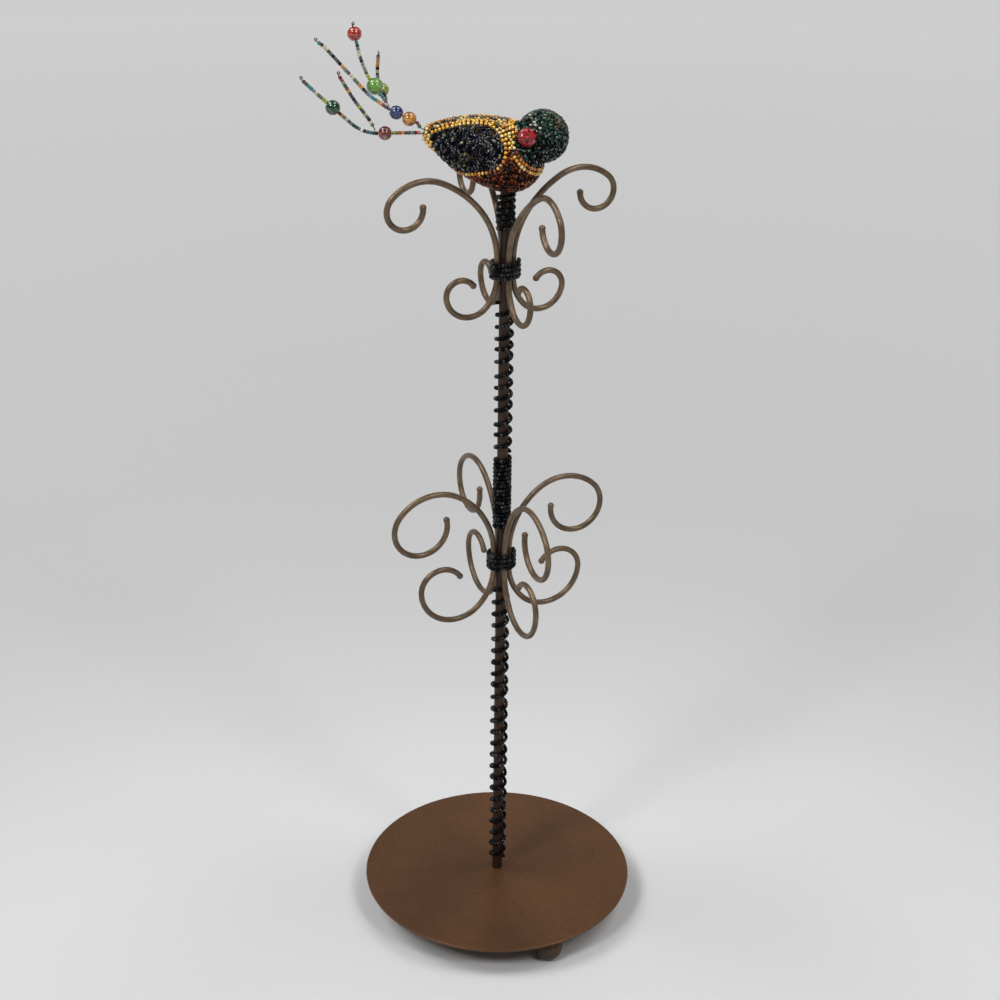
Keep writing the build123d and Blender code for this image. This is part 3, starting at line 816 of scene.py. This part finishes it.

# %% [markdown]
# ## Beak and eyes
# The beak is a red cut-glass drop. Cut glass is flat facets, so its rings of corners are turned
# half a step against each other and it isn't smoothed. Light that passes through the glass
# makes one facet glow and leaves the next one dark, so each facet has a tone of its own. The
# eyes are black glass domes under a short brow of pale beads. By the right eye and above the
# beak these pale beads are partly painted highlights, standing for glints there.

# %% Cut stones
def facets(name, base, way, rings, sides):
    """A cut stone: rings of (distance along, radius), each turned half a step from the last."""
    turn = way.to_track_quat("Z", "Y")
    points, faces = [], []
    for index, (along, radius) in enumerate(rings):
        for side in range(sides):
            angle = 2 * math.pi * (side + index / 2) / sides
            points.append(base + turn @ (Vector((radius * math.cos(angle),
                                                 radius * math.sin(angle), along)) * MM))
    for ring in range(len(rings) - 1):
        low, high = ring * sides, (ring + 1) * sides
        for side in range(sides):
            after = (side + 1) % sides
            faces.append((low + side, low + after, high + side))
            faces.append((low + after, high + after, high + side))
    faces.append(tuple(range(sides))[::-1])
    faces.append(tuple(range(len(points) - sides, len(points))))
    glow = random.Random(5)
    return new_mesh(name, points, faces, "FACE", tone=[glow.random() for _ in faces])


# %% The beak
red_glass = Finish("red_glass", Coat_Weight=0.4, Coat_Roughness=0.1)
red_facets = red_glass.ramp(red_glass.stored("tone"), [
    (0.0, tint(92, 8, 14)), (0.45, tint(156, 16, 26)), (0.8, tint(192, 34, 46)),
    (0.96, tint(222, 96, 102)),
])
red_depth = red_glass.ramp(red_glass.clouds(0.0022), [(0.3, tint(176, 176, 176)),
                                                      (0.7, tint(255, 255, 255))])
red_glass.colour(red_glass.mix(0.8, red_facets, red_depth, "MULTIPLY"))
red_glass.dullness(0.002, 0.1, 0.22)
red_glass.relief(red_glass.clouds(0.002), 0.00002)
HEAD_PLACE = stand_point(HEAD_MIDDLE)
beak_way = bird_way(240.0, 8.7)
BEAK_SUNK, BEAK_SIDES = 1.6, 9
beak_base = HEAD_PLACE + beak_way * ((HEAD - BEAK_SUNK) * MM)
beak_rings = ((0.0, 3.7), (2.0, 4.5), (4.3, 4.45), (6.3, 3.4), (7.7, 1.9), (8.4, 0.7))
show("beak_cut_glass", facets("beak", beak_base, beak_way, beak_rings, BEAK_SIDES), red_glass,
     "stand", "red_glass", "beak")

# %% The eyes
black_glass = Finish("black_glass", Coat_Weight=1.0, Coat_Roughness=0.02)
black_glass.mottle(0.001, (0.4, tint(10, 8, 8)), (0.7, tint(30, 20, 16)))
black_glass.dullness(0.0008, 0.04, 0.12)
# Pale glass for the beads near the eyes; by the right eye and above the beak they are partly
# painted highlights, standing for glints
brow_glass = bead_glass("brow_glass", [tint(226, 222, 206), tint(176, 190, 168)], metal=0.2)
EYE_SUNK, EYE_HEIGHT, EYE_RADIUS = 0.4, 1.4, 1.3
PALE_SUNK, PALE_DIAMETER, PALE_LENGTH = 0.1, 1.15, 1.4
# Eye: turn, rise, and the pale beads near it, each with its turn and rise; by the right eye
# these are partly painted highlights
EYES = {
    "eye_right": (264.0, 20.0, ((263.5, 29.5), (246.0, 41.0), (238.5, 34.0), (251.0, 35.5))),
    "eye_left": (214.0, 46.0, ((214.0, 56.0),)),
}
for node, (turn, rise, pale) in EYES.items():
    way = bird_way(turn, rise)
    middle = HEAD_PLACE + way * (HEAD * MM)
    dome = facets(node, middle - way * (EYE_SUNK * MM), way, [
        (EYE_HEIGHT * math.sin(a) + 0.1, EYE_RADIUS * math.cos(a))
        for a in (0.0, 0.35, 0.7, 1.0, 1.25, 1.45)
    ], 20)
    dome.shade_smooth()
    show(f"{node}_glass", dome, black_glass, "stand", "black_glass", node)
    # Pale beads near the eye; by the right eye and above the beak they are also painted highlights
    # for glints
    pale_beads = []
    for pale_turn, pale_rise in pale:
        out = bird_way(pale_turn, pale_rise)
        along = out.cross(Vector((0.2, 0.3, 1.0))).normalized()
        pale_beads.append((HEAD_PLACE + out * ((HEAD - PALE_SUNK) * MM), along, PALE_DIAMETER * MM,
                     PALE_LENGTH * MM, pick((2, 1))))
    show(f"{node}_brow", bead_mesh(f"{node}_brow", pale_beads), brow_glass, "stand", "black_glass")

# %% [markdown]
# ## The tail
# Five strands of seed beads on wire fan out behind the bird. Each lies in an upright plane and
# is a straight start and then runs and bends, as a hand bends wire. The same short lists draw
# them here as in the CAD model, so that beads and wires meet. A word of letters gives the
# beads' colours for each stretch between round beads, from the root outwards, and is spread
# evenly over the stretch.

# %% Strands of the tail
STRAND_WIRE = 0.6
STRAND_SEED, STRAND_PITCH = 2.0, 1.5
BODY_RISE = math.degrees(math.asin(TAIL_END.z / TAIL_LENGTH))
SOCKET = 5.0
ROOT_BARE, BRANCH_BARE, WIRE_END = 1.6, 2.2, 1.4
# Half a round bead's length as a share of its diameter, and the gap to the seeds beside it
ROUND_HALF, SEED_GAP = 0.46, 0.15
TIP_LOOP = (0.55, 290.0)
SEED_COLOURS = {
    "k": tint(14, 14, 17), "n": tint(22, 28, 62), "t": tint(34, 134, 140), "d": tint(16, 70, 80),
    "g": tint(36, 92, 50), "y": tint(176, 180, 66), "s": tint(104, 126, 106),
    "c": tint(218, 208, 176), "w": tint(232, 232, 224), "a": tint(206, 150, 58),
    "o": tint(206, 92, 34), "b": tint(100, 62, 38), "r": tint(140, 40, 30),
    "e": tint(118, 150, 172), "p": tint(176, 188, 140),
}
# Strand: start, fan, rise, path, round beads (name, diameter, distance), and the colours of
# the seed beads from the root outwards, a word for each stretch
STRANDS = {
    "low": (-1.1, -7.0, BODY_RISE,
            (SOCKET + 0.8, (8.0, -BODY_RISE), 18.8, (18.5, 42.0), 20.1, (36.0, 1.7), 10.6),
            (("red_brown", 6.8, 23.4), ("dark_green", 7.2, 51.9)),
            "ortkkaogys ktnkwddskcsab ysscettdb"),
    "low_branch": (("low", 28.0), -3.0, 63.0,
                   (3.0, (20.7, -10.0), 7.9, (57.0, 6.3), 11.1), (), "sckkpkkysnnnkargsrr"),
    "high": (1.1, -2.0, BODY_RISE,
             (SOCKET + 0.5, (2.5, 57.1), (2.5, -46.6), 13.9, (8.0, 8.3), 9.0,
              (10.0, 13.5), 28.4, (12.0, -14.7), 3.0),
             (("amber", 7.0, 13.6), ("blue", 6.8, 20.4)),
             "gr krattekkasscnsaknnskckt"),
    "high_branch": (("high", 24.6), 26.0, 48.2,
                    (15.8, (12.0, 16.0), 4.3, (28.7, 11.2), 13.4),
                    (("light_green", 8.2, 11.6), ("red", 7.0, 37.8)), "bttt ybsskkcsdt"),
    "top_branch": (("high_branch", 2.5), 70.0, 24.9, (14.8, (5.0, 80.0), 9.0),
                   (("yellow_green", 6.8, 9.5),), "kk kkkckaab"),
}


def drawn(path, rise):
    """The strand's line in its plane: a straight start at rise, then runs and bends."""
    heading = math.radians(rise)
    x, y, points = 0.0, 0.0, [(0.0, 0.0)]
    for step in path + (TIP_LOOP,):
        if isinstance(step, tuple):
            radius, turn = step[0], math.radians(step[1])
            side = 1 if turn > 0 else -1
            cx, cy = x - side * radius * math.sin(heading), y + side * radius * math.cos(heading)
            count = max(3, int(abs(turn) * radius * 4))
            for index in range(1, count + 1):
                angle = heading - side * math.pi / 2 + turn * index / count
                points.append((cx + radius * math.cos(angle), cy + radius * math.sin(angle)))
            heading += turn
            x, y = points[-1]
        else:
            for index in range(1, int(step * 4) + 2):
                share = step * index / (int(step * 4) + 1)
                points.append((x + share * math.cos(heading), y + share * math.sin(heading)))
            x, y = points[-1]
    return points


def at_length(line, length):
    """The place and direction at a distance along a line of points, in metres."""
    return walk(line, math.inf, length)[0]


strand_lines = {}
for strand, (start, fan, rise, path, round_beads, colours) in STRANDS.items():
    outward, way = bird_way(180 - fan, 0), bird_way(180 - fan, rise)
    if isinstance(start, tuple):
        place, along = at_length(strand_lines[start[0]], start[1] * MM)
        aside = (way - along * way.dot(along)).normalized()
        origin = place + aside * ((STRAND_SEED + STRAND_WIRE) / 2 + 0.02) * MM
    else:
        origin = stand_point(TAIL_END + Vector((0, 0, start))) - way * (SOCKET * MM)
    line = [origin + (outward * u + Vector((0, 0, v))) * MM for u, v in drawn(path, rise)]
    strand_lines[strand] = line

# %% Strand beads
codes = list(SEED_COLOURS)
strand_glass = bead_glass("strand_glass", list(SEED_COLOURS.values()), rough=(0.08, 0.25),
                          shine=(0.25, 1.0), flash=0.4)
for strand, (start, fan, rise, path, round_beads, colours) in STRANDS.items():
    line = strand_lines[strand]
    length = sum((b - a).length for a, b in zip(line, line[1:])) / MM
    first = BRANCH_BARE if isinstance(start, tuple) else SOCKET + ROOT_BARE
    last = length - TIP_LOOP[0] * math.radians(TIP_LOOP[1]) - WIRE_END
    cuts = [first]
    for name, diameter, distance in round_beads:
        half = diameter * ROUND_HALF + SEED_GAP
        cuts += [distance - half, distance + half]
    cuts.append(last)
    words, places = colours.split(), []
    for near, far in zip(cuts[::2], cuts[1::2]):
        if far - near < 1.0 or not words:
            continue
        word = words.pop(0)
        count = max(1, round((far - near) / STRAND_PITCH))
        pitch = (far - near) / count
        for index in range(count):
            middle, along = at_length(line, (near + pitch * (index + 0.5)) * MM)
            code = word[index * len(word) // count]
            size = STRAND_SEED * MM * chance.uniform(0.92, 1.0)
            places.append((middle, along, size, pitch * 0.97 * MM,
                           tone_of(codes.index(code), len(codes))))
    show(f"tail_strand_{strand}", bead_mesh(strand, places), strand_glass, "stand",
         "mixed_seed_beads", f"tail_seeds_{strand}")

# %% [markdown]
# ## Round glass beads
# Seven round lampwork beads sit among the seeds and turn on their wires. Each is a ball with
# its two poles drawn in to the hole, where a plain ball would show no rim. Its glass is
# streaked: thin lighter veils run through a body of two tones, as the glass worker's turning
# leaves them.

# %% One round bead
ROUND_HOLE = 0.36


def round_bead(name, middle, way, diameter):
    """A ball with a hole along way, its rim rolled in at both ends."""
    radius, half = diameter / 2, diameter * ROUND_HALF
    start = math.asin(min(1.0, half / radius * 0.985))
    section = [(ROUND_HOLE, -half * 0.8), (ROUND_HOLE * 1.7, -half)]
    section += [(radius * math.cos(a), radius * math.sin(a))
                for a in (start * (i / 8 - 1) for i in range(17))]
    section += [(ROUND_HOLE * 1.7, half), (ROUND_HOLE, half * 0.8)]
    section = [(reach * MM, rise * MM) for reach, rise in section]
    mesh = new_mesh(name, *turned(section, 32, middle, way))
    mesh.shade_smooth()
    return mesh


# %% Lampwork glass
def streaked_glass(name, deep, body, veil):
    """Lampwork glass: a deep and a body colour with thin lighter veils, under a clear skin."""
    finish = Finish(name, Coat_Weight=1.0, Coat_Roughness=0.02, Transmission_Weight=0.25,
                    IOR=1.5)
    swirl = finish.add("ShaderNodeTexWave", wave_type="BANDS", bands_direction="DIAGONAL")
    dial(swirl, Scale=180.0, Distortion=9.0, Detail=2.0)
    finish.join(finish.place, swirl.inputs["Vector"])
    glass = finish.ramp(finish.clouds(0.003, detail=2.0), [(0.38, deep), (0.66, body)])
    streak = finish.span(swirl.outputs["Fac"], 0.0, 0.35, 0.78, 1.0)
    finish.colour(finish.mix(streak, glass, veil))
    finish.dullness(0.002, 0.02, 0.08)
    finish.relief(finish.clouds(0.002, detail=1.0), 0.00002)
    return finish


# %% Seven round beads
ROUND_GLASS = {
    "red_brown": (tint(88, 24, 20), tint(140, 56, 46), tint(214, 176, 164)),
    "dark_green": (tint(10, 44, 24), tint(24, 84, 44), tint(120, 176, 130)),
    "amber": (tint(150, 80, 18), tint(222, 148, 52), tint(250, 220, 150)),
    "blue": (tint(16, 26, 78), tint(48, 70, 140), tint(150, 176, 220)),
    "light_green": (tint(58, 122, 28), tint(122, 176, 62), tint(222, 236, 170)),
    "red": (tint(140, 26, 18), tint(200, 58, 40), tint(240, 160, 130)),
    "yellow_green": (tint(110, 132, 30), tint(176, 184, 70), tint(232, 232, 170)),
}
for strand, (start, fan, rise, path, round_beads, colours) in STRANDS.items():
    for name, diameter, distance in round_beads:
        middle, way = at_length(strand_lines[strand], distance * MM)
        finish = streaked_glass(f"{name}_glass", *ROUND_GLASS[name])
        mesh = round_bead(name, middle, way, diameter)
        slot = "red_glass_bead" if name == "red" else f"{name}_glass"
        show(f"round_bead_{name}", mesh, finish, f"{name}_bead", slot, f"glass_bead_{name}")

# %% [markdown]
# ## Floor
# The stand is photographed on a seamless pale sweep. One wide flat sheet does for it, with light
# painted into its grey: a painted pool of light in front of the stand, painted shade in a ring
# further out, and painted light again far behind it, as light falls on a sweep.

# %% The floor
VIEW_TURN = Matrix.Rotation(math.radians(-23.6), 4, "Z")
AIM = Vector((0, 0, 0.3))
PAINTED_LIGHT_POOL = VIEW_TURN @ Vector((0, -0.25, 0))
PAPER_REACH = 3.0
PAPER_HALF = 40.0
floor_mesh = new_mesh("floor", [Vector((x * PAPER_HALF, y * PAPER_HALF, 0)) for x, y in
                                ((-1, -1), (1, -1), (1, 1), (-1, 1))], [(0, 1, 2, 3)])
floor = put("floor", floor_mesh)
paper = Finish("paper", Roughness=0.9)
distance = paper.add("ShaderNodeVectorMath", operation="DISTANCE")
distance.inputs[1].default_value = PAINTED_LIGHT_POOL
paper.join(paper.place, distance.inputs[0])
far = paper.span(distance.outputs["Value"], 0.0, 1.0, 0.0, PAPER_REACH)
# Painted light and shade: the paper's grey at shares of its reach from the painted pool's middle
tones = paper.ramp(far, [(share, tint(grey, grey, grey)) for share, grey in
                         ((0.0, 209), (0.08, 212), (0.11, 216), (0.135, 214), (0.16, 208),
                          (0.19, 203), (0.22, 200), (0.28, 200), (0.57, 215), (1.0, 230))])
fibres = paper.ramp(paper.clouds(0.002), [(0.3, tint(252, 252, 252)), (0.7, tint(255, 255, 255))])
paper.colour(paper.mix(1.0, tones, fibres, "MULTIPLY"))
floor_mesh.materials.append(paper.material)

# %% [markdown]
# ## Light
# Two broad lights overhead draw the soft shadow under the plate, and two soft boxes in front
# put a pair of small highlights on each glass bead. The sky is kept dim, since a bright one
# would turn the dark beads grey.

# %% The sky
world = bpy.data.worlds.new("studio")
scene.world = world
world.use_nodes = True
sky = world.node_tree.nodes["Background"]
dial(sky, Color=tint(228, 228, 228))


def lamp_at(name, kind, place, **settings):
    """A lamp at a place of the camera's frame, facing the middle of the stand."""
    lamp = put(name, fit(bpy.data.lights.new(name, kind), **settings))
    lamp.location = VIEW_TURN @ Vector(place)
    lamp.rotation_mode = "QUATERNION"
    lamp.rotation_quaternion = (AIM - lamp.location).to_track_quat("-Z", "Y")
    print(name, "stands at", place)


def world_node(kind, *sources, **settings):
    """A node of the sky whose first inputs take the sources."""
    made = fit(world.node_tree.nodes.new(kind), **settings)
    for source, socket in zip(sources, made.inputs):
        world.node_tree.links.new(source, socket)
    return made


look = world_node("ShaderNodeTexCoord").outputs["Generated"]
height = world_node("ShaderNodeSeparateXYZ", look).outputs["Z"]


def below(start, full):
    """A share of the sky that begins at one height and is full at a lower one."""
    band = world_node("ShaderNodeMapRange", height)
    dial(band, From_Min=start, From_Max=full, To_Min=0.0, To_Max=1.0)
    return band.outputs["Result"]


# The sweep rises behind the stand and is lit, so the sky is brighter there, low down, and
# also in a thin band all round, where the far edge of the floor meets it
SKY_DARK, SKY_BRIGHT = 0.17, 0.75
behind = world_node("ShaderNodeVectorMath", look, operation="DOT_PRODUCT")
behind.inputs[1].default_value = VIEW_TURN @ Vector((0, 1, 0))
glow = world_node("ShaderNodeMath", behind.outputs["Value"], below(0.66, 0.42),
                  operation="MULTIPLY", use_clamp=True)
brighter = world_node("ShaderNodeMath", glow.outputs["Value"], below(0.11, 0.03),
                      operation="MAXIMUM")
strength = world_node("ShaderNodeMapRange", brighter.outputs["Value"])
dial(strength, To_Min=SKY_DARK, To_Max=SKY_BRIGHT)
world.node_tree.links.new(strength.outputs["Result"], sky.inputs["Strength"])

# %% The lamps
for name, place, power in (("sky_left", (-1.3, 0.1, 2.4), 1.2),
                           ("sky_right", (1.0, 0.1, 2.4), 0.85)):
    lamp_at(name, "SUN", place, energy=power, angle=math.radians(28))
for name, place, power in (("box_left", (-1.1, -1.3, 1.9), 18.0),
                           ("box_right", (1.1, -1.3, 1.9), 12.0)):
    lamp_at(name, "AREA", place, energy=power, shape="RECTANGLE", size=0.4, size_y=0.6)

# %% [markdown]
# ## Camera
# The camera stands as the photographer did, a little under a metre back and looking down. Its
# place and lens were worked out from the outline of the round plate and the length of the post.

# %% The camera
CAMERA_BACK = 0.8534
CAMERA_HEIGHT = 0.6307 + PLATE_TOP
PITCH, ROLL, YAW = math.radians(25.03), math.radians(0.743), math.radians(-0.069)
FOCAL_IN_PIXELS = 1808.4
SENSOR = 36.0
camera_data = bpy.data.cameras.new("camera")
camera_data.sensor_width = SENSOR
camera_data.lens = SENSOR * FOCAL_IN_PIXELS / 1000
camera = put("camera", camera_data)
camera.matrix_world = (VIEW_TURN @ Matrix.Translation((0, -CAMERA_BACK, CAMERA_HEIGHT)) @
                       Matrix.Rotation(-YAW, 4, "Z") @
                       Matrix.Rotation(math.pi / 2 - PITCH, 4, "X") @
                       Matrix.Rotation(ROLL, 4, "Z"))
scene.camera = camera
scene.view_settings.view_transform = "Standard"
print("lens:", round(camera_data.lens, 2), "mm")
